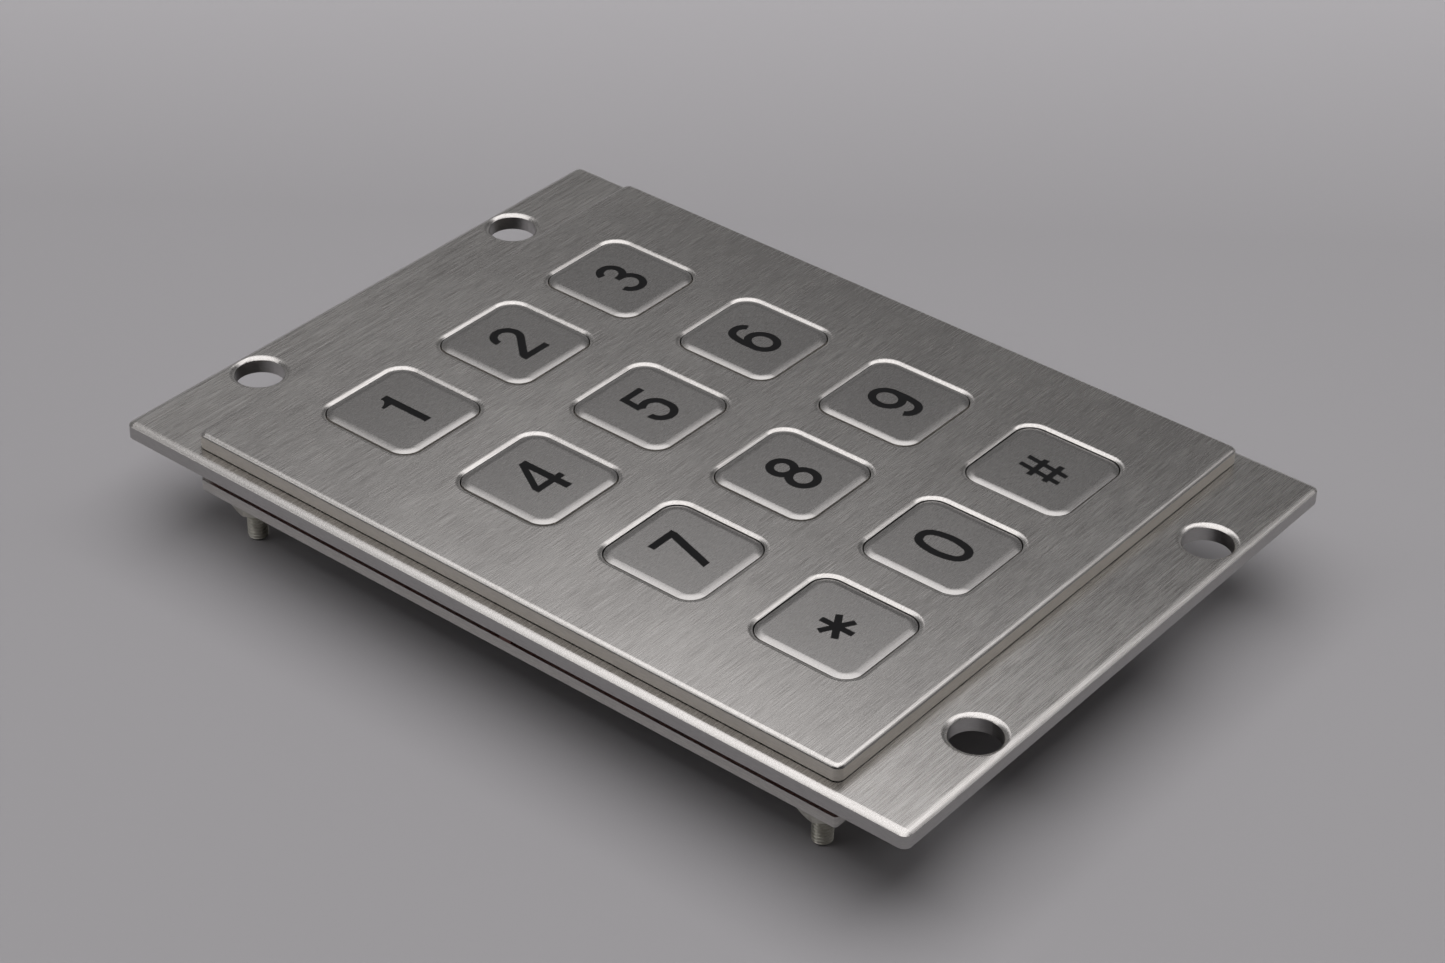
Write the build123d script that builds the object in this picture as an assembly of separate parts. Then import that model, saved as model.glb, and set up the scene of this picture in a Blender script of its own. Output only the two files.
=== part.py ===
"""Flush-mounted 12-key keypad: stainless face and keys on a mounting flange, silicone key mat, circuit
board and rear plate, clamped together by four welded studs. Writes one STEP file per piece to parts/.

Frame, in millimetres: +Z out of the face, +Y up the keypad from the bottom row to the top row, +X to
the right as read from the front. The origin is below the middle of the flange, level with the stud ends.
"""
import os
from math import asin, atan2, degrees

from build123d import *

# Key grid
KEY_ROWS = (("1", "2", "3"), ("4", "5", "6"), ("7", "8", "9"), ("star", "0", "hash"))
KEY_PITCH_X = 19.5
KEY_PITCH_Y = 21.0
GRID_CENTRE_Y = 0.0

# Stack, from the face to the stud ends
PANEL_THICK = 1.9
GASKET_THICK = 0.1
FLANGE_THICK = 2.0
MAT_THICK = 0.9
BOARD_THICK = 1.6
REAR_THICK = 1.5
WASHER_THICK = 0.5
NUT_THICK = 2.0
STUD_TAIL = 4.2

STUD_END = 0.0
NUT_BOTTOM = STUD_END + STUD_TAIL
NUT_TOP = NUT_BOTTOM + NUT_THICK
REAR_BOTTOM = NUT_TOP + WASHER_THICK
BOARD_BOTTOM = REAR_BOTTOM + REAR_THICK
BOARD_TOP = BOARD_BOTTOM + BOARD_THICK
FLANGE_BOTTOM = BOARD_TOP + MAT_THICK
FLANGE_TOP = FLANGE_BOTTOM + FLANGE_THICK
PANEL_BOTTOM = FLANGE_TOP + GASKET_THICK
FACE = PANEL_BOTTOM + PANEL_THICK

# Front panel, gasket and mounting flange. Each rolled edge has its run inwards and its drop at the edge
PANEL_WIDTH = 76.5
PANEL_LENGTH = 92.2
PANEL_CORNER = 1.0
PANEL_EDGE = (0.6, 0.36)
WINDOW = 14.15
WINDOW_CORNER = 2.5
WINDOW_EDGE = (0.55, 0.2)
GASKET_INSET = 0.35
FLANGE_WIDTH = 80.4
FLANGE_LENGTH = 112.2
FLANGE_CORNER = 1.0
FLANGE_EDGE = (0.95, 0.38)
FLANGE_WINDOW = 16.6
FLANGE_WINDOW_CORNER = 3.2
MOUNT_SPACING_X = 45.0
MOUNT_SPACING_Y = 104.0
MOUNT_HOLE = 6.0
MOUNT_HOLE_EDGE = (0.65, 0.3)

# Keys
KEY_SIZE = 13.8
KEY_CORNER = 2.3
KEY_EDGE = (0.9, 0.15)
KEY_STAND = 0.04
LOW_KEY_STAND = -0.1
LOW_KEYS = ("7", "star", "0", "hash")
LIP_SIZE = 15.8
LIP_CORNER = 2.8
LIP_THICK = 1.0
LIP_CLEARANCE = 0.05
LEGEND_DEPTH = 0.15
LEGEND_SINK = 0.02
LEGEND_SHIFT_X = 0.12

# Legend characters
GLYPH_HEIGHT = 7.1
GLYPH_WIDTH = 4.3
STROKE = 1.02

# Silicone mat and domes
MAT_WIDTH = 75.0
MAT_LENGTH = 90.8
MAT_CORNER = 0.5
DOME_BASE = 9.0
DOME_COLLAR = 1.0
DOME_TOP = 5.6
DOME_WALL = 0.5
DOME_CLEARANCE = 0.05
PILL = 3.4
PILL_GAP = 0.5

# Circuit board
BOARD_WIDTH = 75.0
BOARD_LENGTH = 90.8
BOARD_CORNER = 0.5
TAB_WIDTH = 1.6
TAB_REACH = 0.75
TAB_Y = -1.0
PAD_THICK = 0.04
PAD_DIAMETER = 5.0
PAD_SPLIT = 0.4

# Rear plate, studs and their nuts
REAR_CORNER = 0.5
REAR_EDGE_ROUND = 0.25
STUD_X = 34.0
STUD_Y = 41.5
STUD_DIAMETER = 2.46
STUD_CHAMFER = 0.35
STUD_COLLAR = 3.4
STUD_COLLAR_THICK = 0.7
STUD_CLEARANCE = 3.0
COLLAR_CLEARANCE = 4.2
NUT_FLATS = 5.0
NUT_BORE = 2.54
NUT_CROWN = 0.3
NUT_TURN = 13.0
WASHER_DIAMETER = 6.0
WASHER_BORE = 2.7

# Connector: an 8-way shrouded header, pins 2 mm apart
HEADER_WAYS = 8
HEADER_PITCH = 2.0
HEADER_END = 1.95
HEADER_DEPTH = 4.5
HEADER_HEIGHT = 6.0
HEADER_WALL = 0.6
HEADER_FLOOR = 1.4
HEADER_CORNER = 0.2
HEADER_SLOT = 1.0
HEADER_SLOT_DROP = 3.6
HEADER_Y = 21.5
PIN = 0.5
PIN_TIP = 1.1
PIN_TAIL = 1.0
REAR_WINDOW_MARGIN = 2.0
REAR_WINDOW_CORNER = 1.5

HEADER_WIDTH = (HEADER_WAYS - 1) * HEADER_PITCH + 2 * HEADER_END
HEADER_BOTTOM = BOARD_BOTTOM - HEADER_HEIGHT


def slab(width, length, low, high, corner):
    """A flat plate with rounded corners between two heights, centred on the Z axis."""
    return extrude(Pos(0, 0, low) * RectangleRounded(width, length, corner), high - low)


def rod(diameter, low, high):
    """An upright cylinder between two heights, centred on the Z axis."""
    return extrude(Pos(0, 0, low) * Circle(diameter / 2), high - low)


def key_places():
    """Every key's name and the middle of its window."""
    places = []
    for row, names in enumerate(KEY_ROWS):
        for column, name in enumerate(names):
            x = (column - 1) * KEY_PITCH_X
            y = GRID_CENTRE_Y + (1.5 - row) * KEY_PITCH_Y
            places.append((name, x, y))
    return places


KEYS = key_places()
KEY_LOCATIONS = [Pos(x, y, 0) for name, x, y in KEYS]
STUD_LOCATIONS = GridLocations(2 * STUD_X, 2 * STUD_Y, 2, 2).locations


def top_face(solid):
    return solid.faces().sort_by(Axis.Z)[-1]


def inner_edges(face):
    """The edges of every hole in a face."""
    return [edge for wire in face.inner_wires() for edge in wire.edges()]


def roll(edge):
    """Radius of the arc of a rolled edge, and how far that arc would reach past it if it went on."""
    run, drop = edge
    radius = (run**2 + drop**2) / (2 * drop)
    return radius, radius - run


def rolled_slab(width, length, low, high, corner, edge):
    """A slab whose upper edge is rolled: its arc meets the side at a slant, with no upright part."""
    radius, past = roll(edge)
    bottom = min(low, high - 2 * radius)
    blank = slab(width + 2 * past, length + 2 * past, bottom, high, corner + past)
    blank = fillet(top_face(blank).edges(), radius)
    return blank & slab(width, length, low, high, corner)


def hole_cutter(diameter, low, high, edge):
    """What a drilled hole with a rolled upper edge takes away."""
    radius = roll(edge)[0]
    run, drop = edge
    bore = diameter / 2
    mouth = CenterArc((bore + run, high - radius), radius, 90, degrees(asin(run / radius)))
    outline = [
        Polyline((bore, high - drop), (bore, low - 1), (0, low - 1), (0, high + 1), (bore + run, high + 1)),
        Line((bore + run, high + 1), (bore + run, high)),
        mouth,
    ]
    return revolve(Plane.XZ * make_face(outline), Axis.Z)


# Plates


def make_front_panel():
    """Panel with twelve rounded windows whose upper edges are rolled."""
    panel = rolled_slab(PANEL_WIDTH, PANEL_LENGTH, PANEL_BOTTOM, FACE, PANEL_CORNER, PANEL_EDGE)
    radius, past = roll(WINDOW_EDGE)
    opening = slab(WINDOW - 2 * past, WINDOW - 2 * past, PANEL_BOTTOM - 1, FACE + 1, WINDOW_CORNER - past)
    panel -= [place * opening for place in KEY_LOCATIONS]
    panel = fillet(inner_edges(top_face(panel)), radius)
    window = slab(WINDOW, WINDOW, PANEL_BOTTOM - 1, FACE + 1, WINDOW_CORNER)
    return panel - [place * window for place in KEY_LOCATIONS]


def make_panel_gasket():
    """Thin adhesive gasket between panel and flange, set back a little from the panel's edge."""
    width = PANEL_WIDTH - 2 * GASKET_INSET
    length = PANEL_LENGTH - 2 * GASKET_INSET
    gasket = slab(width, length, FLANGE_TOP, PANEL_BOTTOM, PANEL_CORNER)
    window = slab(FLANGE_WINDOW, FLANGE_WINDOW, FLANGE_TOP - 1, FACE, FLANGE_WINDOW_CORNER)
    return gasket - [place * window for place in KEY_LOCATIONS]


def make_mounting_flange():
    """Plate that carries everything: wider windows for the keys' lips and four mounting holes."""
    flange = rolled_slab(FLANGE_WIDTH, FLANGE_LENGTH, FLANGE_BOTTOM, FLANGE_TOP, FLANGE_CORNER, FLANGE_EDGE)
    hole = hole_cutter(MOUNT_HOLE, FLANGE_BOTTOM, FLANGE_TOP, MOUNT_HOLE_EDGE)
    flange -= [place * hole for place in GridLocations(MOUNT_SPACING_X, MOUNT_SPACING_Y, 2, 2)]
    window = slab(FLANGE_WINDOW, FLANGE_WINDOW, FLANGE_BOTTOM - 1, FACE, FLANGE_WINDOW_CORNER)
    return flange - [place * window for place in KEY_LOCATIONS]


def make_rear_plate():
    """Clamping plate with clearance holes for the studs and a window for the connector."""
    plate = slab(PANEL_WIDTH, PANEL_LENGTH, REAR_BOTTOM, BOARD_BOTTOM, REAR_CORNER)
    plate = fillet(plate.faces().sort_by(Axis.Z)[0].outer_wire().edges(), REAR_EDGE_ROUND)
    hole = rod(STUD_CLEARANCE, REAR_BOTTOM - 1, BOARD_BOTTOM + 1)
    plate -= [place * hole for place in STUD_LOCATIONS]
    window_width = HEADER_WIDTH + 2 * REAR_WINDOW_MARGIN
    window_length = HEADER_DEPTH + 2 * REAR_WINDOW_MARGIN
    window = slab(window_width, window_length, REAR_BOTTOM - 1, BOARD_BOTTOM + 1, REAR_WINDOW_CORNER)
    return plate - Pos(0, HEADER_Y, 0) * window


# Legend characters, drawn in a box centred on the origin

HALF_WIDTH = (GLYPH_WIDTH - STROKE) / 2
HALF_HEIGHT = (GLYPH_HEIGHT - STROKE) / 2
TOP = GLYPH_HEIGHT / 2
SMALL_BOWL = 1.41
LARGE_BOWL = HALF_HEIGHT - SMALL_BOWL
WAIST = HALF_HEIGHT - 2 * SMALL_BOWL


def pen(*edges):
    """A line of the legend's stroke width along a chain of edges."""
    return trace(Wire(edges), line_width=STROKE)


def bar(x0, y0, x1, y1):
    """A rectangle between two corners."""
    return Pos((x0 + x1) / 2, (y0 + y1) / 2) * Rectangle(abs(x1 - x0), abs(y1 - y0))


def ring(radius):
    """A round ring of the legend's stroke width."""
    return Circle(radius + STROKE / 2) - Circle(radius - STROKE / 2)


def oval_side(half_width, half_height, end_radius):
    """Radius of an oval's long side arcs, and the angle at which they meet its end arcs."""
    rise = half_height - end_radius
    radius = (half_width**2 + rise**2 - end_radius**2) / (2 * (half_width - end_radius))
    return radius, degrees(atan2(rise, radius - half_width))


def oval(half_width, half_height, end_radius):
    """A closed oval of two end arcs and two side arcs."""
    side, angle = oval_side(half_width, half_height, end_radius)
    end_y = half_height - end_radius
    side_x = side - half_width
    sweep = 180 - 2 * angle
    arcs = [
        CenterArc((0, end_y), end_radius, angle, sweep),
        CenterArc((side_x, 0), side, 180 - angle, 2 * angle),
        CenterArc((0, -end_y), end_radius, 180 + angle, sweep),
        CenterArc((-side_x, 0), side, -angle, 2 * angle),
    ]
    return make_face(arcs)


def digit_0():
    end_radius = 1.9
    outer = oval(GLYPH_WIDTH / 2 + 0.05, TOP + 0.05, end_radius)
    inner = oval(GLYPH_WIDTH / 2 + 0.05 - STROKE, TOP + 0.05 - STROKE, end_radius - STROKE)
    return outer - inner


def digit_1():
    left = -0.2
    flag_bottom = 1.8
    flag_reach = 1.25
    flag_rise = 0.4
    stem = bar(left, -TOP, left + 1.08, TOP)
    tip = (left - flag_reach, flag_bottom + flag_rise)
    crest = (left + 0.3, TOP)
    outline = [
        Line((left + 0.3, flag_bottom), (left - flag_reach, flag_bottom)),
        Line((left - flag_reach, flag_bottom), tip),
        RadiusArc(tip, crest, -2.1),
        Line(crest, (left + 0.3, flag_bottom)),
    ]
    return stem + make_face(outline)


def digit_2():
    bowl_radius = HALF_WIDTH - 0.02
    bowl_y = HALF_HEIGHT - bowl_radius
    bowl = CenterArc((0, bowl_y), bowl_radius, -43, 228)
    start = bowl @ 0
    direction = bowl % 0
    foot_y = -TOP + 0.75
    run = (start.Y - foot_y) / direction.Y
    diagonal = Line(start - direction * run, start)
    foot = bar(-GLYPH_WIDTH / 2, -TOP, GLYPH_WIDTH / 2, -TOP + 0.96)
    corner = bar(-GLYPH_WIDTH / 2, -TOP, -GLYPH_WIDTH / 2 + STROKE, foot_y)
    return pen(diagonal, bowl) + foot + corner


def digit_3():
    upper = CenterArc((0, HALF_HEIGHT - SMALL_BOWL), SMALL_BOWL, -90, 258)
    lower = CenterArc((0, WAIST - LARGE_BOWL), LARGE_BOWL, 192, 258)
    middle = bar(-0.6, WAIST - STROKE / 2 + 0.05, 0.1, WAIST + STROKE / 2 - 0.05)
    return pen(upper) + pen(lower) + middle


def digit_4():
    stem_left = 0.39
    stem_right = 1.45
    bar_low = -1.81
    bar_high = -0.90
    reach_left = -2.35
    reach_right = 2.25
    outline = Polyline(
        (stem_right, TOP),
        (stem_left - 0.05, TOP),
        (reach_left, bar_high),
        (reach_left, bar_low),
        (stem_left, bar_low),
        (stem_left, -TOP),
        (stem_right, -TOP),
        (stem_right, bar_low),
        (reach_right, bar_low),
        (reach_right, bar_high),
        (stem_right, bar_high),
        close=True,
    )
    hole = Polyline((stem_left, 2.05), (stem_left, bar_high), (-1.35, bar_high), close=True)
    return make_face(outline) - make_face(hole)


def digit_5():
    bowl_radius = HALF_WIDTH
    low_y = -HALF_HEIGHT + bowl_radius
    high_y = low_y + 0.65
    bowl = [
        CenterArc((0, low_y), bowl_radius, 172, 188),
        Line((bowl_radius, low_y), (bowl_radius, high_y)),
        CenterArc((0, high_y), bowl_radius, 0, 138),
    ]
    flag = bar(-1.55, TOP - 0.9, GLYPH_WIDTH / 2 - 0.15, TOP)
    back = Polyline((-1.58, TOP), (-0.65, TOP), (-0.88, 0.4), (-1.81, 0.4), close=True)
    return pen(*bowl) + flag + make_face(back)


def digit_6():
    end_radius = 1.45
    side, angle = oval_side(HALF_WIDTH, HALF_HEIGHT, end_radius)
    bowl_height = 1.86
    spine = [
        CenterArc((0, HALF_HEIGHT - end_radius), end_radius, 22, 158 - angle),
        CenterArc((side - HALF_WIDTH, 0), side, 180 - angle, 2 * angle),
    ]
    bowl_outer = oval(GLYPH_WIDTH / 2, bowl_height + STROKE / 2, GLYPH_WIDTH / 2 - 0.15)
    bowl_inner = oval(HALF_WIDTH - STROKE / 2, bowl_height - STROKE / 2, HALF_WIDTH - STROKE / 2 - 0.12)
    bowl = Pos(0, -HALF_HEIGHT + bowl_height) * (bowl_outer - bowl_inner)
    counter = Pos(0, -HALF_HEIGHT + bowl_height) * bowl_inner
    return bowl + (pen(*spine) - counter)


def digit_7():
    outline = Polyline(
        (-2.1, TOP),
        (2.05, TOP),
        (2.05, TOP - 0.9),
        (0.09, -TOP),
        (-1.04, -TOP),
        (0.88, TOP - 0.99),
        (-2.1, TOP - 0.99),
        close=True,
    )
    return make_face(outline)


def digit_8():
    upper = Pos(0, HALF_HEIGHT - SMALL_BOWL) * ring(SMALL_BOWL)
    lower = Pos(0, WAIST - LARGE_BOWL) * ring(LARGE_BOWL)
    return upper + lower


def digit_9():
    return Rot(0, 0, 180) * digit_6()


def sign_star():
    arm = Rectangle(0.85, 4.35)
    return arm + Rot(0, 0, 60) * arm + Rot(0, 0, 120) * arm


def sign_hash():
    height = 5.8
    lean = 0.34
    half = 0.37
    sketch = bar(-1.95, 0.37, 1.9, 1.15) + bar(-1.95, -1.71, 1.9, -0.93)
    for x in (-0.87, 0.83):
        upright = Polyline(
            (x - lean - half, -height / 2),
            (x - lean + half, -height / 2),
            (x + lean + half, height / 2),
            (x + lean - half, height / 2),
            close=True,
        )
        sketch += make_face(upright)
    return sketch


GLYPHS = {
    "0": digit_0,
    "1": digit_1,
    "2": digit_2,
    "3": digit_3,
    "4": digit_4,
    "5": digit_5,
    "6": digit_6,
    "7": digit_7,
    "8": digit_8,
    "9": digit_9,
    "star": sign_star,
    "hash": sign_hash,
}


# Keys

LIP_TOP = PANEL_BOTTOM - LIP_CLEARANCE
LIP_BOTTOM = LIP_TOP - LIP_THICK


def make_key(name):
    """A key and its legend, centred on the Z axis: a pillowed cap on a lip that the panel traps."""
    stand = LOW_KEY_STAND if name in LOW_KEYS else KEY_STAND
    cap_top = FACE + stand
    cap = rolled_slab(KEY_SIZE, KEY_SIZE, LIP_TOP, cap_top, KEY_CORNER, KEY_EDGE)
    lip = slab(LIP_SIZE, LIP_SIZE, LIP_BOTTOM, LIP_TOP, LIP_CORNER)
    glyph = Pos(LEGEND_SHIFT_X, 0, cap_top - LEGEND_DEPTH) * GLYPHS[name]()
    key = cap + lip - extrude(glyph, LEGEND_DEPTH + 1, dir=(0, 0, 1))
    legend = extrude(glyph, LEGEND_DEPTH - LEGEND_SINK, dir=(0, 0, 1))
    return key, legend


# Silicone mat


def make_key_mat():
    """Silicone sheet between flange and board, open under each dome and around each stud."""
    mat = slab(MAT_WIDTH, MAT_LENGTH, BOARD_TOP, FLANGE_BOTTOM, MAT_CORNER)
    dome_hole = rod(DOME_BASE + 2 * DOME_CLEARANCE, BOARD_TOP - 1, FLANGE_BOTTOM + 1)
    stud_hole = rod(COLLAR_CLEARANCE, BOARD_TOP - 1, FLANGE_BOTTOM + 1)
    mat -= [place * dome_hole for place in KEY_LOCATIONS]
    return mat - [place * stud_hole for place in STUD_LOCATIONS]


def make_dome():
    """Hollow dome under a key, standing on the board, with its contact pill hanging from the crown."""
    base = DOME_BASE / 2
    crown = DOME_TOP / 2
    pill = PILL / 2
    top = LIP_BOTTOM - DOME_CLEARANCE
    skirt_top = FLANGE_BOTTOM
    profile = Polyline(
        (base - DOME_COLLAR, BOARD_TOP),
        (base, BOARD_TOP),
        (base, skirt_top),
        (crown, top - DOME_WALL),
        (crown, top),
        (0, top),
        (0, BOARD_TOP + PILL_GAP),
        (pill, BOARD_TOP + PILL_GAP),
        (pill, top - DOME_WALL),
        (crown - DOME_WALL, top - DOME_WALL),
        (base - DOME_COLLAR, skirt_top - DOME_WALL / 2),
        close=True,
    )
    return revolve(Plane.XZ * make_face(profile), Axis.Z)


# Circuit board and connector


def header_pin_x():
    return [(way - (HEADER_WAYS - 1) / 2) * HEADER_PITCH for way in range(HEADER_WAYS)]


def make_circuit_board():
    """Board with stud holes, header holes and a broken-off panel tab on each long side."""
    board = slab(BOARD_WIDTH, BOARD_LENGTH, BOARD_BOTTOM, BOARD_TOP, BOARD_CORNER)
    tab = Box(BOARD_WIDTH + 2 * TAB_REACH, TAB_WIDTH, BOARD_THICK)
    board += Pos(0, TAB_Y, (BOARD_BOTTOM + BOARD_TOP) / 2) * tab
    stud_hole = rod(STUD_CLEARANCE, BOARD_BOTTOM - 1, BOARD_TOP + 1)
    board -= [place * stud_hole for place in STUD_LOCATIONS]
    pin_hole = rod(PIN * 1.5, BOARD_BOTTOM - 1, BOARD_TOP + 1)
    return board - [Pos(x, HEADER_Y, 0) * pin_hole for x in header_pin_x()]


def make_contact_pads():
    """A split round contact on the board under each dome."""
    half = extrude(Circle(PAD_DIAMETER / 2) - Rectangle(PAD_SPLIT, PAD_DIAMETER), PAD_THICK)
    return [place * Pos(0, 0, BOARD_TOP) * solid for place in KEY_LOCATIONS for solid in half.solids()]


def make_header_housing():
    """Open-topped shroud, pointing down, with two slots in one long wall and one in each end."""
    housing = slab(HEADER_WIDTH, HEADER_DEPTH, HEADER_BOTTOM, BOARD_BOTTOM, HEADER_CORNER)
    inner_width = HEADER_WIDTH - 2 * HEADER_WALL
    inner_depth = HEADER_DEPTH - 2 * HEADER_WALL
    cavity_height = HEADER_HEIGHT - HEADER_FLOOR
    cavity = Box(inner_width, inner_depth, cavity_height, align=(Align.CENTER, Align.CENTER, Align.MIN))
    housing -= Pos(0, 0, HEADER_BOTTOM) * cavity
    slot_align = (Align.CENTER, Align.CENTER, Align.MIN)
    wall_slot = Box(HEADER_SLOT, HEADER_WALL * 2, HEADER_SLOT_DROP, align=slot_align)
    for x in (-HEADER_WIDTH / 2 + 3.2, HEADER_WIDTH / 2 - 3.2):
        housing -= Pos(x, -HEADER_DEPTH / 2, HEADER_BOTTOM) * wall_slot
    end_slot = Box(HEADER_WALL * 2, HEADER_SLOT, HEADER_SLOT_DROP, align=slot_align)
    for x in (-HEADER_WIDTH / 2, HEADER_WIDTH / 2):
        housing -= Pos(x, 0, HEADER_BOTTOM) * end_slot
    pin_hole = Box(PIN, PIN, HEADER_HEIGHT * 2)
    housing -= [Pos(x, 0, BOARD_BOTTOM) * pin_hole for x in header_pin_x()]
    return Pos(0, HEADER_Y, 0) * housing


def make_header_pins():
    """Square pins from the board's upper face to just inside the shroud's mouth."""
    low = HEADER_BOTTOM + PIN_TIP
    high = BOARD_BOTTOM + PIN_TAIL
    pin = Pos(0, 0, low) * Box(PIN, PIN, high - low, align=(Align.CENTER, Align.CENTER, Align.MIN))
    pin = chamfer(pin.faces().sort_by(Axis.Z)[0].edges(), PIN / 4)
    return [Pos(x, HEADER_Y, 0) * pin for x in header_pin_x()]


# Studs, washers and nuts


def make_stud():
    """Threaded stud with a weld collar, hanging from the flange."""
    shank = rod(STUD_DIAMETER, STUD_END, FLANGE_BOTTOM)
    shank = chamfer(shank.edges().sort_by(Axis.Z)[0], STUD_CHAMFER)
    return shank + rod(STUD_COLLAR, FLANGE_BOTTOM - STUD_COLLAR_THICK, FLANGE_BOTTOM)


def make_flat_washer():
    return rod(WASHER_DIAMETER, NUT_TOP, REAR_BOTTOM) - rod(WASHER_BORE, NUT_TOP - 1, REAR_BOTTOM + 1)


def make_nut():
    """Hexagon nut, both crowns chamfered."""
    hexagon = RegularPolygon(NUT_FLATS / 2, 6, major_radius=False, rotation=NUT_TURN)
    nut = extrude(Pos(0, 0, NUT_BOTTOM) * hexagon, NUT_THICK)
    corner_radius = hexagon.vertices()[0].distance_to(Vertex(0, 0, 0))
    crown = rod(2 * corner_radius, NUT_BOTTOM, NUT_TOP)
    crown = chamfer(crown.edges().filter_by(GeomType.CIRCLE), NUT_CROWN, 2 * NUT_CROWN)
    return (nut & crown) - rod(NUT_BORE, NUT_BOTTOM - 1, NUT_TOP + 1)


# Files


def write(name, *solids):
    """One STEP file for a node, from one solid or a group of them."""
    found = [solid for shape in solids for solid in shape.solids()]
    shape = found[0] if len(found) == 1 else Compound(children=found)
    shape.label = name
    export_step(shape, f"parts/{name}.step")


def at_each(places, shape):
    return [place * shape for place in places]


def main():
    os.makedirs("parts", exist_ok=True)
    write("front_panel", make_front_panel())
    write("panel_gasket", make_panel_gasket())
    write("mounting_flange", make_mounting_flange())
    dome = make_dome()
    for name, x, y in KEYS:
        key, legend = make_key(name)
        place = Pos(x, y, 0)
        write(f"key_{name}", place * key)
        write(f"legend_{name}", place * legend)
        write(f"dome_{name}", place * dome)
    write("key_mat", make_key_mat())
    write("circuit_board", make_circuit_board())
    write("contact_pads", *make_contact_pads())
    write("header_housing", make_header_housing())
    write("header_pins", *make_header_pins())
    write("rear_plate", make_rear_plate())
    write("weld_studs", *at_each(STUD_LOCATIONS, make_stud()))
    write("flat_washers", *at_each(STUD_LOCATIONS, make_flat_washer()))
    write("hex_nuts", *at_each(STUD_LOCATIONS, make_nut()))


main()
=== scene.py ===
"""Looks of the flush-mounted 12-key keypad: brushed stainless steel, paint-filled legends, threaded
studs, silicone domes and a nylon header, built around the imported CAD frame. Metres, in the frame's own axes.
"""

from math import cos, pi, radians, sin

import bmesh
import bpy
from mathutils import Matrix, Vector


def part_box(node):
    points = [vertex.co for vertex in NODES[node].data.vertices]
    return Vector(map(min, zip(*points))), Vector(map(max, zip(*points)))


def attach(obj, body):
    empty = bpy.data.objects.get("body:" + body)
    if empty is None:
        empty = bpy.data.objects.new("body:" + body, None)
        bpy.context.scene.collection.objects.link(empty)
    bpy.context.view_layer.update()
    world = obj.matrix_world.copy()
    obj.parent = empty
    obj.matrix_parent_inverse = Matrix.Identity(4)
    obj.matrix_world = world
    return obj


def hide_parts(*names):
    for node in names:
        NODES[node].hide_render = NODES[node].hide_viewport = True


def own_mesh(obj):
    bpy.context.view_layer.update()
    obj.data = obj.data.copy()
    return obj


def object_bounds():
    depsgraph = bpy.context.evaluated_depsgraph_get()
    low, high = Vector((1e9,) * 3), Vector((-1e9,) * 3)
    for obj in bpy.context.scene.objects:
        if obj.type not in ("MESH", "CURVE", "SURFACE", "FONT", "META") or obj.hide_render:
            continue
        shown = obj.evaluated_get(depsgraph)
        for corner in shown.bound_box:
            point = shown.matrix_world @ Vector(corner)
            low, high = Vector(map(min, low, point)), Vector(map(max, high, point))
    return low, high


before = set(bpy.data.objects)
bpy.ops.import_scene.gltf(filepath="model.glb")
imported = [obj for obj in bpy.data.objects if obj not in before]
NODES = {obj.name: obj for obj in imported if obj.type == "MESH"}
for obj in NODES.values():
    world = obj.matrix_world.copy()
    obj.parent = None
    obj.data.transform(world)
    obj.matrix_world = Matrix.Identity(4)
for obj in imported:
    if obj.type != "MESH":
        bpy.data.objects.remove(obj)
cad_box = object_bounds()

MM = 0.001
KEY_NAMES = [name[len("key_"):] for name in NODES if name.startswith("key_") and name != "key_mat"]

# Camera
CAMERA_AZIMUTH = -52.362
CAMERA_ELEVATION = 34.770
CAMERA_ROLL = 1.984
CAMERA_DISTANCE = 379.19 * MM
CAMERA_TARGET = (-6.421 * MM, -5.451 * MM)
CAMERA_LENS = 83.73
SENSOR_WIDTH = 36.0
CAMERA_CLIP = 0.01


def direction(azimuth, elevation):
    """Unit vector from the object towards a camera or lamp at that azimuth and elevation."""
    a = radians(azimuth)
    e = radians(elevation)
    return Vector((sin(a) * cos(e), -cos(a) * cos(e), sin(e)))


# Materials

# The range that most values of a noise fall in, and the one that nearly all fall in.
NOISE_CORE = (0.35, 0.65)
NOISE_REACH = (0.3, 0.7)
# How far a face may lean, as the upright part of its normal, from all wall to all flat.
WALL_TURN = (0.15, 0.6)
# How far in from a plate's outline its outer walls are taken to reach.
OUTER_BAND = 1.2 * MM


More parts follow.
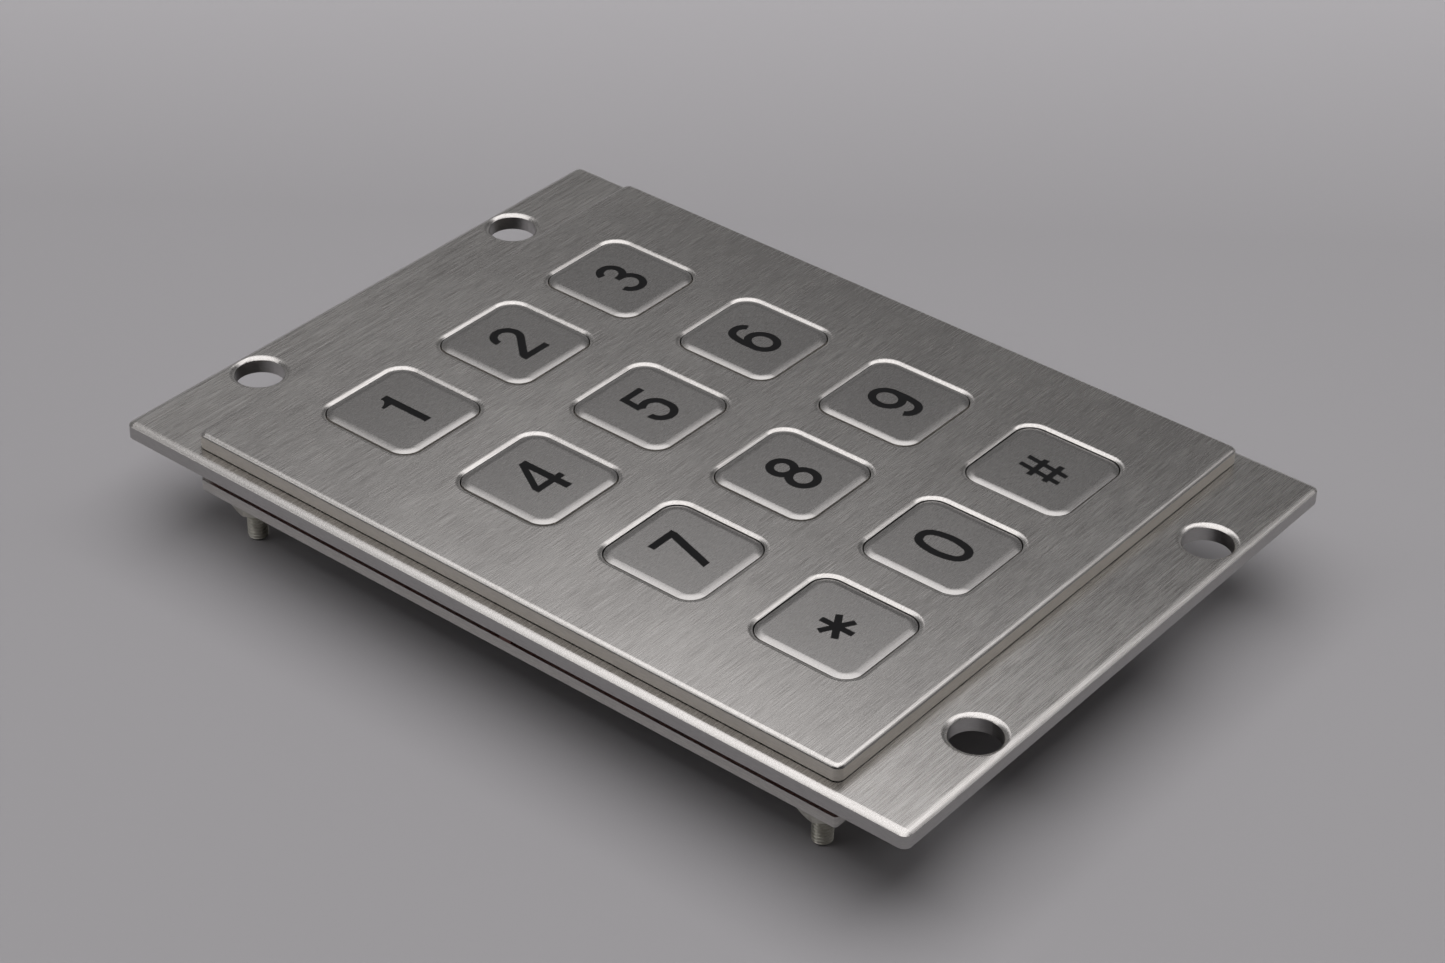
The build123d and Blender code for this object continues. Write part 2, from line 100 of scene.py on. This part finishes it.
class Finish:
    """A node material built around one Principled shader, on coordinates in metres."""

    def __init__(self, name):
        self.material = bpy.data.materials.new(name)
        self.material.use_nodes = True
        self.tree = self.material.node_tree
        self.tree.nodes.clear()
        output = self.tree.nodes.new("ShaderNodeOutputMaterial")
        self.shader = self.tree.nodes.new("ShaderNodeBsdfPrincipled")
        self.tree.links.new(self.shader.outputs[0], output.inputs["Surface"])
        coordinates = self.tree.nodes.new("ShaderNodeTexCoord")
        self.place = coordinates.outputs["Object"]
        self.facing = coordinates.outputs["Normal"]

    def node(self, kind, inputs=(), **settings):
        """A shader node with its settings, and each input linked to a socket or set to a value."""
        made = self.tree.nodes.new(kind)
        for key, value in settings.items():
            setattr(made, key, value)
        for key, value in dict(inputs).items():
            if isinstance(value, bpy.types.NodeSocket):
                self.tree.links.new(value, made.inputs[key])
            else:
                made.inputs[key].default_value = value
        return made

    def noise(self, size, detail, roughness, offset=(0, 0, 0)):
        """Noise whose features are as large as size along each axis."""
        scale = [1 / s for s in size]
        mapped = self.node("ShaderNodeMapping", {"Vector": self.place, "Scale": scale, "Location": offset})
        inputs = {
            "Vector": mapped.outputs[0],
            "Scale": 1.0,
            "Detail": detail,
            "Roughness": roughness,
            "Distortion": 0.0,
        }
        return self.node("ShaderNodeTexNoise", inputs).outputs["Fac"]

    def spread(self, value, low, high, to_low=0.0, to_high=1.0):
        """A value from low to high carried over to another range, and held inside it."""
        inputs = {"Value": value, "From Min": low, "From Max": high, "To Min": to_low, "To Max": to_high}
        return self.node("ShaderNodeMapRange", inputs, clamp=True).outputs[0]

    def sum(self, *terms):
        """The sum of (value, weight) terms."""
        total = None
        for value, weight in terms:
            inputs = {0: value, 1: weight, 2: 0.0 if total is None else total}
            total = self.node("ShaderNodeMath", inputs, operation="MULTIPLY_ADD").outputs[0]
        return total

    def upright(self):
        """1 on walls, 0 on faces that lie flat, soft between the two."""
        axes = self.node("ShaderNodeSeparateXYZ", {0: self.facing}).outputs
        level = self.node("ShaderNodeMath", {0: axes["Z"]}, operation="ABSOLUTE").outputs[0]
        return self.spread(level, *WALL_TURN, 1.0, 0.0)

    def on_outline(self, outline):
        """1 on the outer walls of a plate with this half width and length, 0 further in."""
        axes = self.node("ShaderNodeSeparateXYZ", {0: self.place}).outputs
        reached = []
        for axis, half in zip(("X", "Y"), outline):
            away = self.node("ShaderNodeMath", {0: axes[axis]}, operation="ABSOLUTE").outputs[0]
            reached.append(self.spread(away, half - OUTER_BAND, half - OUTER_BAND / 2))
        return self.node("ShaderNodeMath", dict(enumerate(reached)), operation="MAXIMUM").outputs[0]

    def colours(self, value, *stops):
        """A colour for each value, from (position, (r, g, b)) stops."""
        ramp = self.node("ShaderNodeValToRGB", {"Fac": value})
        elements = ramp.color_ramp.elements
        while len(elements) < len(stops):
            elements.new(0.5)
        for element, (position, colour) in zip(elements, stops):
            element.position = position
            element.color = (*colour, 1)
        return ramp.outputs["Color"]

    def mix(self, value, a, b):
        """The colour a where value is 0, b where it is 1."""
        made = self.node("ShaderNodeMix", data_type="RGBA")
        for index, item in ((0, value), (6, a), (7, b)):
            if isinstance(item, bpy.types.NodeSocket):
                self.tree.links.new(item, made.inputs[index])
            else:
                made.inputs[index].default_value = item if index == 0 else (*item, 1)
        return made.outputs[2]

    def bump(self, height, depth):
        """A normal for a height map from 0 to 1 that stands for a relief this deep."""
        inputs = {"Height": height, "Distance": depth, "Strength": 1.0}
        return self.node("ShaderNodeBump", inputs).outputs[0]

    def shade(self, **values):
        """Sets or links the shader's sockets, named in lower case with underscores."""
        for key, value in values.items():
            socket = self.shader.inputs[key.replace("_", " ").title().replace("Ior", "IOR")]
            if isinstance(value, bpy.types.NodeSocket):
                self.tree.links.new(value, socket)
            else:
                socket.default_value = value
        return self.material


STEEL_DARK = (0.46, 0.445, 0.43)
STEEL_LIGHT = (0.68, 0.665, 0.645)
WALL = (0.78, 0.74, 0.68)
# Painted shade: near-black for walls inside a plate's outline, such as the key windows' walls.
INNER_WALL_PAINTED_SHADE = (0.02, 0.019, 0.018)
STREAK_SPAN = (0.34, 0.66)
CLOUD_SIZE = (26 * MM, 12 * MM, 12 * MM)
SAW_SIZE = (0.9 * MM, 0.9 * MM, 0.08 * MM)
BROAD = 2.5
MICRON = 0.001 * MM


def brushed_steel(
    name,
    rough,
    shades=(STEEL_DARK, STEEL_LIGHT),
    grain=0.07,
    length=5.0,
    relief=0.9,
    aniso=0.5,
    wall=WALL,
    wall_rougher=0.3,
    wall_metallic=0.5,
    outline=None,
    seed=0.0,
):
    """Stainless steel brushed along X: crisp streaks over soft clouds, and duller, warmer sawn walls.

    Streaks are length by grain millimetres and relief microns deep. With an outline, the half width and half
    length of a plate, its walls further in, such as those of the key windows, are painted near-black as
    painted shade.
    """
    f = Finish(name)
    offset = (seed, seed * 1.7, seed * 2.3)
    fine = f.noise((length * MM, grain * MM, grain * MM), 2, 0.7, offset)
    broad = f.noise((BROAD * length * MM, BROAD * grain * MM, BROAD * grain * MM), 2, 0.6, offset)
    cloud = f.noise(CLOUD_SIZE, 3, 0.55, offset)
    streaks = f.sum((f.spread(fine, *STREAK_SPAN), 0.7), (f.spread(broad, *STREAK_SPAN), 0.15))
    tone = f.sum((streaks, 1.0), (cloud, 0.3))
    face = f.colours(f.spread(tone, 0.25, 0.85), (0.0, shades[0]), (1.0, shades[1]))
    saw = f.noise(SAW_SIZE, 3, 0.6, offset)
    side = f.colours(f.spread(saw, *NOISE_CORE), (0.0, [0.86 * c for c in wall]), (1.0, wall))
    if outline is not None:
        # Walls inside the outline get painted shade in place of their steel colour.
        side = f.mix(f.on_outline(outline), INNER_WALL_PAINTED_SHADE, side)
    gloss = f.spread(f.sum((streaks, 0.7), (cloud, 0.5)), 0.2, 0.9, rough[0], rough[1])
    walls = f.upright()
    across = f.node("ShaderNodeCombineXYZ", {0: 0.0, 1: 1.0, 2: 0.0}).outputs[0]
    return f.shade(
        base_color=f.mix(walls, face, side),
        metallic=f.spread(walls, 0.0, 1.0, 1.0, wall_metallic),
        roughness=f.sum((gloss, 1.0), (walls, wall_rougher)),
        anisotropic=f.spread(walls, 0.0, 1.0, aniso, 0.0),
        tangent=across,
        normal=f.bump(f.sum((fine, 0.7), (broad, 0.6)), relief * MICRON),
    )


PANEL_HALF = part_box("front_panel")[1].xy
PANEL_STEEL = brushed_steel("panel_steel", (0.23, 0.30), outline=PANEL_HALF)
FLANGE_STEEL = brushed_steel(
    "flange_steel", (0.24, 0.31), wall=(0.50, 0.49, 0.48), wall_rougher=0.05, wall_metallic=1.0, seed=3.0
)
KEY_STEEL = brushed_steel(
    "key_steel",
    (0.25, 0.29),
    shades=((0.42, 0.41, 0.40), (0.48, 0.47, 0.46)),
    grain=0.05,
    length=1.2,
    relief=0.3,
    aniso=0.3,
    seed=7.0,
)
REAR_STEEL = brushed_steel(
    "rear_steel", (0.34, 0.48), grain=0.16, length=7.0, wall=(0.84, 0.82, 0.79), wall_metallic=0.9, seed=11.0
)


def fastener_steel():
    """Plain machined stainless, slightly olive, with fine turning marks and stains."""
    f = Finish("fastener_steel")
    rings = f.noise((0.5 * MM, 0.5 * MM, 0.06 * MM), 3, 0.6)
    stain = f.noise((1.2 * MM, 1.2 * MM, 0.8 * MM), 4, 0.6)
    tone = f.sum((rings, 0.4), (stain, 0.6))
    colour = f.colours(f.spread(tone, *NOISE_CORE), (0.0, (0.60, 0.585, 0.51)), (1.0, (0.86, 0.845, 0.77)))
    return f.shade(
        base_color=colour,
        metallic=1.0,
        roughness=f.spread(stain, *NOISE_REACH, 0.28, 0.48),
        normal=f.bump(rings, 0.002 * MM),
    )


def moulded(name, dark, light, rough, grain, depth, specular=0.4, metallic=0.0):
    """A moulded, painted or plated surface with fine grain and soft clouding; grain and depth are in mm."""
    f = Finish(name)
    fine = f.noise((grain * MM,) * 3, 4, 0.6)
    cloud = f.noise((grain * 18 * MM,) * 3, 3, 0.5)
    colour = f.colours(f.spread(f.sum((fine, 0.4), (cloud, 0.6)), *NOISE_CORE), (0.0, dark), (1.0, light))
    return f.shade(
        base_color=colour,
        metallic=metallic,
        roughness=f.spread(cloud, *NOISE_REACH, rough[0], rough[1]),
        specular_ior_level=specular,
        normal=f.bump(fine, depth * MM),
    )


LEGEND_BLACK = moulded(
    "legend_black", (0.003, 0.003, 0.0035), (0.008, 0.008, 0.009), (0.5, 0.62), 0.12, 0.003, specular=0.14
)
# A thin gasket sheet between panel and flange, coloured near-black as painted shade for the slit between the
# two plates.
GASKET_PAINTED_SHADE = moulded(
    "gasket_black", (0.006, 0.006, 0.006), (0.02, 0.02, 0.02), (0.8, 0.95), 0.15, 0.02, specular=0.2
)
SILICONE = moulded("silicone_grey", (0.20, 0.21, 0.22), (0.28, 0.29, 0.30), (0.5, 0.65), 0.2, 0.004)
CARBON = moulded(
    "contact_carbon", (0.01, 0.01, 0.011), (0.03, 0.03, 0.03), (0.55, 0.75), 0.1, 0.006, specular=0.3
)
GOLD = moulded(
    "contact_gold",
    (0.72, 0.52, 0.20),
    (0.88, 0.68, 0.30),
    (0.22, 0.36),
    0.15,
    0.003,
    specular=0.5,
    metallic=1.0,
)
NYLON = moulded(
    "header_white", (0.72, 0.70, 0.63), (0.83, 0.81, 0.75), (0.38, 0.5), 0.1, 0.003, specular=0.45
)
TIN = moulded(
    "pin_tin", (0.60, 0.59, 0.57), (0.74, 0.73, 0.71), (0.2, 0.34), 0.12, 0.002, specular=0.5, metallic=1.0
)
FASTENER = fastener_steel()


def board_finish():
    """Dark red-brown solder mask, a little cloudy, over woven glass."""
    f = Finish("board")
    weave = f.noise((0.5 * MM, 0.5 * MM, 0.12 * MM), 3, 0.6)
    cloud = f.noise((6 * MM, 6 * MM, 6 * MM), 3, 0.5)
    tone = f.spread(f.sum((weave, 0.4), (cloud, 0.6)), *NOISE_CORE)
    colour = f.colours(tone, (0.0, (0.075, 0.018, 0.014)), (1.0, (0.17, 0.045, 0.03)))
    return f.shade(
        base_color=colour,
        roughness=f.spread(cloud, *NOISE_REACH, 0.35, 0.55),
        specular_ior_level=0.45,
        normal=f.bump(weave, 0.004 * MM),
    )


BOARD = board_finish()

NODE_FINISH = {
    "front_panel": PANEL_STEEL,
    "panel_gasket": GASKET_PAINTED_SHADE,
    "mounting_flange": FLANGE_STEEL,
    "key_mat": SILICONE,
    "circuit_board": BOARD,
    "contact_pads": GOLD,
    "header_housing": NYLON,
    "header_pins": TIN,
    "rear_plate": REAR_STEEL,
    "flat_washers": FASTENER,
    "hex_nuts": FASTENER,
}
for key in KEY_NAMES:
    NODE_FINISH[f"key_{key}"] = KEY_STEEL
    NODE_FINISH[f"legend_{key}"] = LEGEND_BLACK
for name, finish in NODE_FINISH.items():
    mesh = NODES[name].data
    mesh.materials.clear()
    mesh.materials.append(finish)


# Meshes

# Distances below this, in metres, count as none.
TINY = 1e-7


def add_piece(name, bm, finishes, body):
    """An object from a bmesh that rides on a CAD body, or is part of the stage when body is None."""
    mesh = bpy.data.meshes.new(name)
    bm.to_mesh(mesh)
    bm.free()
    for finish in finishes:
        mesh.materials.append(finish)
    piece = bpy.data.objects.new(name, mesh)
    bpy.context.scene.collection.objects.link(piece)
    if body is None:
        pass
    else:
        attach(piece, body)
    return piece


def rounded(points, radius, steps=4):
    """A closed outline of (r, z) points, its corners rounded by radius or by a third value of their own.

    A rounding of 0 keeps a corner.
    """
    outline = []
    count = len(points)
    for i, point in enumerate(points):
        here = Vector(point[:2])
        reach = point[2] if len(point) > 2 else radius
        if reach == 0:
            outline.append(here)
            continue
        before = Vector(points[i - 1][:2]) - here
        after = Vector(points[(i + 1) % count][:2]) - here
        reach = min(reach, before.length / 2, after.length / 2)
        start = here + before.normalized() * reach
        end = here + after.normalized() * reach
        for k in range(steps + 1):
            t = k / steps
            outline.append(start.lerp(here, t).lerp(here.lerp(end, t), t))
    return outline


def lathe(bm, outline, centre, segments, pick=None):
    """Turns a closed outline about an upright axis. Points on the axis make one vertex."""
    rings = []
    for point in outline:
        if point[0] < TINY:
            rings.append([bm.verts.new((centre[0], centre[1], point[1]))])
            continue
        ring = []
        for k in range(segments):
            angle = 2 * pi * k / segments
            place = (centre[0] + point[0] * cos(angle), centre[1] + point[0] * sin(angle), point[1])
            ring.append(bm.verts.new(place))
        rings.append(ring)
    for i, ring in enumerate(rings):
        other = rings[(i + 1) % len(rings)]
        if len(ring) == 1 and len(other) == 1:
            continue
        for k in range(segments):
            j = (k + 1) % segments
            corners = [ring[n % len(ring)] for n in (k, j)] + [other[n % len(other)] for n in (j, k)]
            face = bm.faces.new(list(dict.fromkeys(corners)))
            face.smooth = True
            if pick is not None:
                face.material_index = pick(face.calc_center_median())


# Threaded studs

PITCH = 0.45 * MM
THREAD_ROWS = 10
THREAD_SEGMENTS = 48
THREAD_DEPTH = 0.26 * MM
THREAD_CREST = 0.16
THREAD_ROOT = 0.14
THREAD_SOFTNESS = 0.35
THREAD_RUN_IN = 1.5
TIP_CHAMFER = 0.35 * MM
STUD_RADIUS = 1.23 * MM
COLLAR_RADIUS = 1.7 * MM
COLLAR_THICK = 0.7 * MM
COLLAR_SHOULDER = 0.35 * MM
COLLAR_FOOT = 0.86
COLLAR_ROUND = 0.15 * MM
COLLAR_SEGMENTS = 40
STUD_BURIED = 0.2 * MM


def thread_radius(phase, crest_radius):
    """Radius of a 60 degree thread, its crest and root flattened, at a share of one turn's rise."""
    slope = (1 - THREAD_CREST - THREAD_ROOT) / 2
    distance = abs(phase - 0.5)
    depth = (distance - THREAD_CREST / 2) / slope
    depth = min(max(depth, 0.0), 1.0)
    smooth = depth * depth * (3 - 2 * depth)
    depth = smooth * THREAD_SOFTNESS + depth * (1 - THREAD_SOFTNESS)
    return crest_radius - THREAD_DEPTH * depth


def threaded_rod(bm, centre, low, high, radius):
    """An upright threaded rod whose rows of vertices follow the helix, cut square at both ends."""
    part = bmesh.new()
    rows = int((high - low) / PITCH + 3) * THREAD_ROWS
    columns = []
    for k in range(THREAD_SEGMENTS):
        angle = 2 * pi * k / THREAD_SEGMENTS
        rise = PITCH * k / THREAD_SEGMENTS
        column = []
        for j in range(rows):
            z = low - THREAD_RUN_IN * PITCH + rise + j * PITCH / THREAD_ROWS
            r = thread_radius(j % THREAD_ROWS / THREAD_ROWS, radius)
            r = min(r, max(radius - TIP_CHAMFER + (z - low), radius / 2))
            column.append(part.verts.new((centre[0] + r * cos(angle), centre[1] + r * sin(angle), z)))
        columns.append(column)
    for k in range(THREAD_SEGMENTS):
        last = k == THREAD_SEGMENTS - 1
        shift = THREAD_ROWS if last else 0
        other = columns[0 if last else k + 1]
        for j in range(rows - 1 - shift):
            corners = (columns[k][j], other[j + shift], other[j + 1 + shift], columns[k][j + 1])
            part.faces.new(corners).smooth = True
    for level, normal in ((low, (0, 0, -1)), (high, (0, 0, 1))):
        geometry = part.verts[:] + part.edges[:] + part.faces[:]
        cut = bmesh.ops.bisect_plane(
            part, geom=geometry, dist=TINY, plane_co=(0, 0, level), plane_no=normal, clear_outer=True
        )
        rim = [e for e in cut["geom_cut"] if isinstance(e, bmesh.types.BMEdge)]
        bmesh.ops.edgenet_fill(part, edges=rim)
    bmesh.ops.recalc_face_normals(part, faces=part.faces[:])
    mesh = bpy.data.meshes.new("thread")
    part.to_mesh(mesh)
    part.free()
    bm.from_mesh(mesh)
    bpy.data.meshes.remove(mesh)


def make_studs():
    """Four threaded studs with weld collars, where the CAD has plain ones."""
    low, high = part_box("weld_studs")
    x = high.x - COLLAR_RADIUS
    y = high.y - COLLAR_RADIUS
    bm = bmesh.new()
    for sx in (-1, 1):
        for sy in (-1, 1):
            centre = (sx * x, sy * y)
            threaded_rod(bm, centre, low.z, high.z - STUD_BURIED, STUD_RADIUS)
            outline = [
                (0, high.z - COLLAR_THICK, 0),
                (COLLAR_RADIUS * COLLAR_FOOT, high.z - COLLAR_THICK),
                (COLLAR_RADIUS, high.z - COLLAR_SHOULDER),
                (COLLAR_RADIUS, high.z, 0),
                (0, high.z, 0),
            ]
            lathe(bm, rounded(outline, COLLAR_ROUND), centre, COLLAR_SEGMENTS)
    bmesh.ops.recalc_face_normals(bm, faces=bm.faces[:])
    studs = add_piece("threaded_studs", bm, [FASTENER], "root")
    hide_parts("weld_studs")


make_studs()


# Silicone domes

DOME_CROWN_RADIUS = 2.8 * MM
DOME_WALL = 0.5 * MM
DOME_COLLAR = 1.0 * MM
DOME_SKIRT = 0.9 * MM
DOME_FLARE = 0.1 * MM
PILL_RADIUS = 1.7 * MM
PILL_GAP = 0.5 * MM
CARBON_REACH = 1.3
DOME_SEGMENTS = 56


def make_dome(key):
    """A rounded dome with its carbon pill."""
    low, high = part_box(f"dome_{key}")
    centre = ((low.x + high.x) / 2, (low.y + high.y) / 2)
    base = (high.x - low.x) / 2
    skirt = low.z + DOME_SKIRT
    inner = high.z - DOME_WALL
    # Each corner is its distance from the axis, its height and its rounding.
    outline = [
        (base - DOME_COLLAR, low.z, 0),
        (base, low.z, 0.08 * MM),
        (base, skirt, 0.3 * MM),
        (DOME_CROWN_RADIUS + DOME_FLARE, inner, 0.4 * MM),
        (DOME_CROWN_RADIUS, high.z, 0.35 * MM),
        (0, high.z, 0),
        (0, low.z + PILL_GAP, 0),
        (PILL_RADIUS, low.z + PILL_GAP, 0.1 * MM),
        (PILL_RADIUS, inner, 0.15 * MM),
        (DOME_CROWN_RADIUS - DOME_WALL, inner, 0.2 * MM),
        (base - DOME_COLLAR, skirt - DOME_WALL / 2, 0.3 * MM),
    ]

    def pick(point):
        """1, the carbon, on the face of the contact pill and just above it, 0 elsewhere."""
        across = (point.xy - Vector(centre)).length
        return int(across < PILL_RADIUS and point.z < low.z + CARBON_REACH * PILL_GAP)

    bm = bmesh.new()
    lathe(bm, rounded(outline, 0), centre, DOME_SEGMENTS, pick)
    bmesh.ops.recalc_face_normals(bm, faces=bm.faces[:])
    dome = add_piece(f"soft_dome_{key}", bm, [SILICONE, CARBON], "root")
    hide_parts(f"dome_{key}")
    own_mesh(dome)


for key in KEY_NAMES:
    make_dome(key)


# Floor

FLOOR_HALF = 3.0
# Painted light: the floor's colour turns lighter over this distance away from the camera, towards the colour
# below.
FLOOR_PAINTED_LIGHT_FADE = (0.075, 0.15)
FLOOR_DARK = (0.435, 0.428, 0.443)
FLOOR_LIGHT = (0.465, 0.458, 0.473)
FLOOR_BACK_PAINTED_LIGHT = (0.60, 0.59, 0.61)


def floor_finish():
    """Pale grey sheet with painted light: a little lighter towards the back of the room, away from the camera.
    """
    f = Finish("floor")
    cloud = f.noise((0.4, 0.4, 0.4), 3, 0.5)
    fine = f.noise((0.9 * MM,) * 3, 3, 0.6)
    near = f.colours(f.spread(cloud, *NOISE_REACH), (0.0, FLOOR_DARK), (1.0, FLOOR_LIGHT))
    back = -direction(CAMERA_AZIMUTH, 0)
    depth = f.node("ShaderNodeVectorMath", {0: f.place, 1: back}, operation="DOT_PRODUCT").outputs["Value"]
    # Painted light: the floor colour is mixed towards a lighter grey with distance away from the camera.
    colour = f.mix(f.spread(depth, *FLOOR_PAINTED_LIGHT_FADE), near, FLOOR_BACK_PAINTED_LIGHT)
    return f.shade(base_color=colour, roughness=0.55, specular_ior_level=0.3, normal=f.bump(fine, 0.01 * MM))


def make_floor():
    """A large flat sheet that the stud ends stand on."""
    bm = bmesh.new()
    bmesh.ops.create_grid(bm, x_segments=8, y_segments=8, size=FLOOR_HALF)
    floor = add_piece("floor", bm, [floor_finish()], None)
    floor.location.z = cad_box[0].z


make_floor()


# Light

OVERHEAD = {"place": (0.06, 0.07, 0.75), "aim": (0.06, 0.07, 0.0), "size": (1.2, 1.0), "radiance": 1.5}
LEFT_CARD = {"place": (-0.70, 0.58, 0.66), "aim": (0.0, 0.0, 0.0), "size": (0.42, 0.36), "radiance": 1.1}
RIGHT_CARD = {"place": (0.70, -0.45, 0.68), "aim": (0.0, 0.0, 0.0), "size": (0.50, 0.45), "radiance": 0.6}
LIGHT_COLOUR = (1.0, 0.98, 0.985)


def add_softbox(name, place, aim, size, radiance):
    """A rectangular area light facing a point."""
    light = bpy.data.lights.new(name, "AREA")
    light.shape = "RECTANGLE"
    light.size, light.size_y = size
    light.energy = radiance * size[0] * size[1] * pi
    light.color = LIGHT_COLOUR
    lamp = bpy.data.objects.new(name, light)
    bpy.context.scene.collection.objects.link(lamp)
    lamp.location = place
    lamp.rotation_mode = "QUATERNION"
    lamp.rotation_quaternion = (Vector(aim) - Vector(place)).to_track_quat("-Z", "Y")


add_softbox("overhead", **OVERHEAD)
add_softbox("left_card", **LEFT_CARD)
add_softbox("right_card", **RIGHT_CARD)

NEAR_RADIANCE = 0.025
FAR_RADIANCE = 0.12
FAR_HORIZON_RADIANCE = 0.32
ROOM_COLOUR = (1.0, 0.985, 0.99, 1)
HORIZON_SPAN = (0.1, 0.5)
ROOM_SPAN = (-0.6, 0.8)


def smooth_spread(tree, value, span, target):
    """A value carried smoothly from one span to another; the target's end may be a socket."""
    made = tree.nodes.new("ShaderNodeMapRange")
    made.interpolation_type = "SMOOTHSTEP"
    tree.links.new(value, made.inputs["Value"])
    for name, item in zip(("From Min", "From Max", "To Min", "To Max"), (*span, *target)):
        if isinstance(item, bpy.types.NodeSocket):
            tree.links.new(item, made.inputs[name])
        else:
            made.inputs[name].default_value = item
    return made.outputs[0]


def make_world():
    """A dim room, lighter on the far side from the camera and most of all low down there."""
    world = bpy.data.worlds.new("room")
    bpy.context.scene.world = world
    world.use_nodes = True
    tree = world.node_tree
    tree.nodes.clear()
    output = tree.nodes.new("ShaderNodeOutputWorld")
    background = tree.nodes.new("ShaderNodeBackground")
    tree.links.new(background.outputs[0], output.inputs["Surface"])
    ray = tree.nodes.new("ShaderNodeTexCoord").outputs["Generated"]
    axes = tree.nodes.new("ShaderNodeSeparateXYZ")
    tree.links.new(ray, axes.inputs[0])
    depth = tree.nodes.new("ShaderNodeVectorMath")
    depth.operation = "DOT_PRODUCT"
    tree.links.new(ray, depth.inputs[0])
    depth.inputs[1].default_value = -direction(CAMERA_AZIMUTH, 0)
    far = smooth_spread(tree, axes.outputs["Z"], HORIZON_SPAN, (FAR_HORIZON_RADIANCE, FAR_RADIANCE))
    strength = smooth_spread(tree, depth.outputs["Value"], ROOM_SPAN, (NEAR_RADIANCE, far))
    background.inputs["Color"].default_value = ROOM_COLOUR
    tree.links.new(strength, background.inputs["Strength"])


make_world()


# Camera


def make_camera():
    """A camera looking at a point level with the face, turned a little about its own axis."""
    data = bpy.data.cameras.new("camera")
    data.sensor_width = SENSOR_WIDTH
    data.lens = CAMERA_LENS
    data.clip_start = CAMERA_CLIP
    camera = bpy.data.objects.new("camera", data)
    bpy.context.scene.collection.objects.link(camera)
    back = direction(CAMERA_AZIMUTH, CAMERA_ELEVATION)
    level = Vector((0, 0, 1)).cross(back).normalized()
    upright = back.cross(level)
    roll = radians(CAMERA_ROLL)
    right = level * cos(roll) + upright * sin(roll)
    up = upright * cos(roll) - level * sin(roll)
    target = Vector((*CAMERA_TARGET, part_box("front_panel")[1].z))
    basis = Matrix((right, up, back)).transposed().to_4x4()
    camera.matrix_world = Matrix.Translation(target + back * CAMERA_DISTANCE) @ basis
    bpy.context.scene.camera = camera


make_camera()
bpy.context.scene.view_settings.view_transform = "Standard"
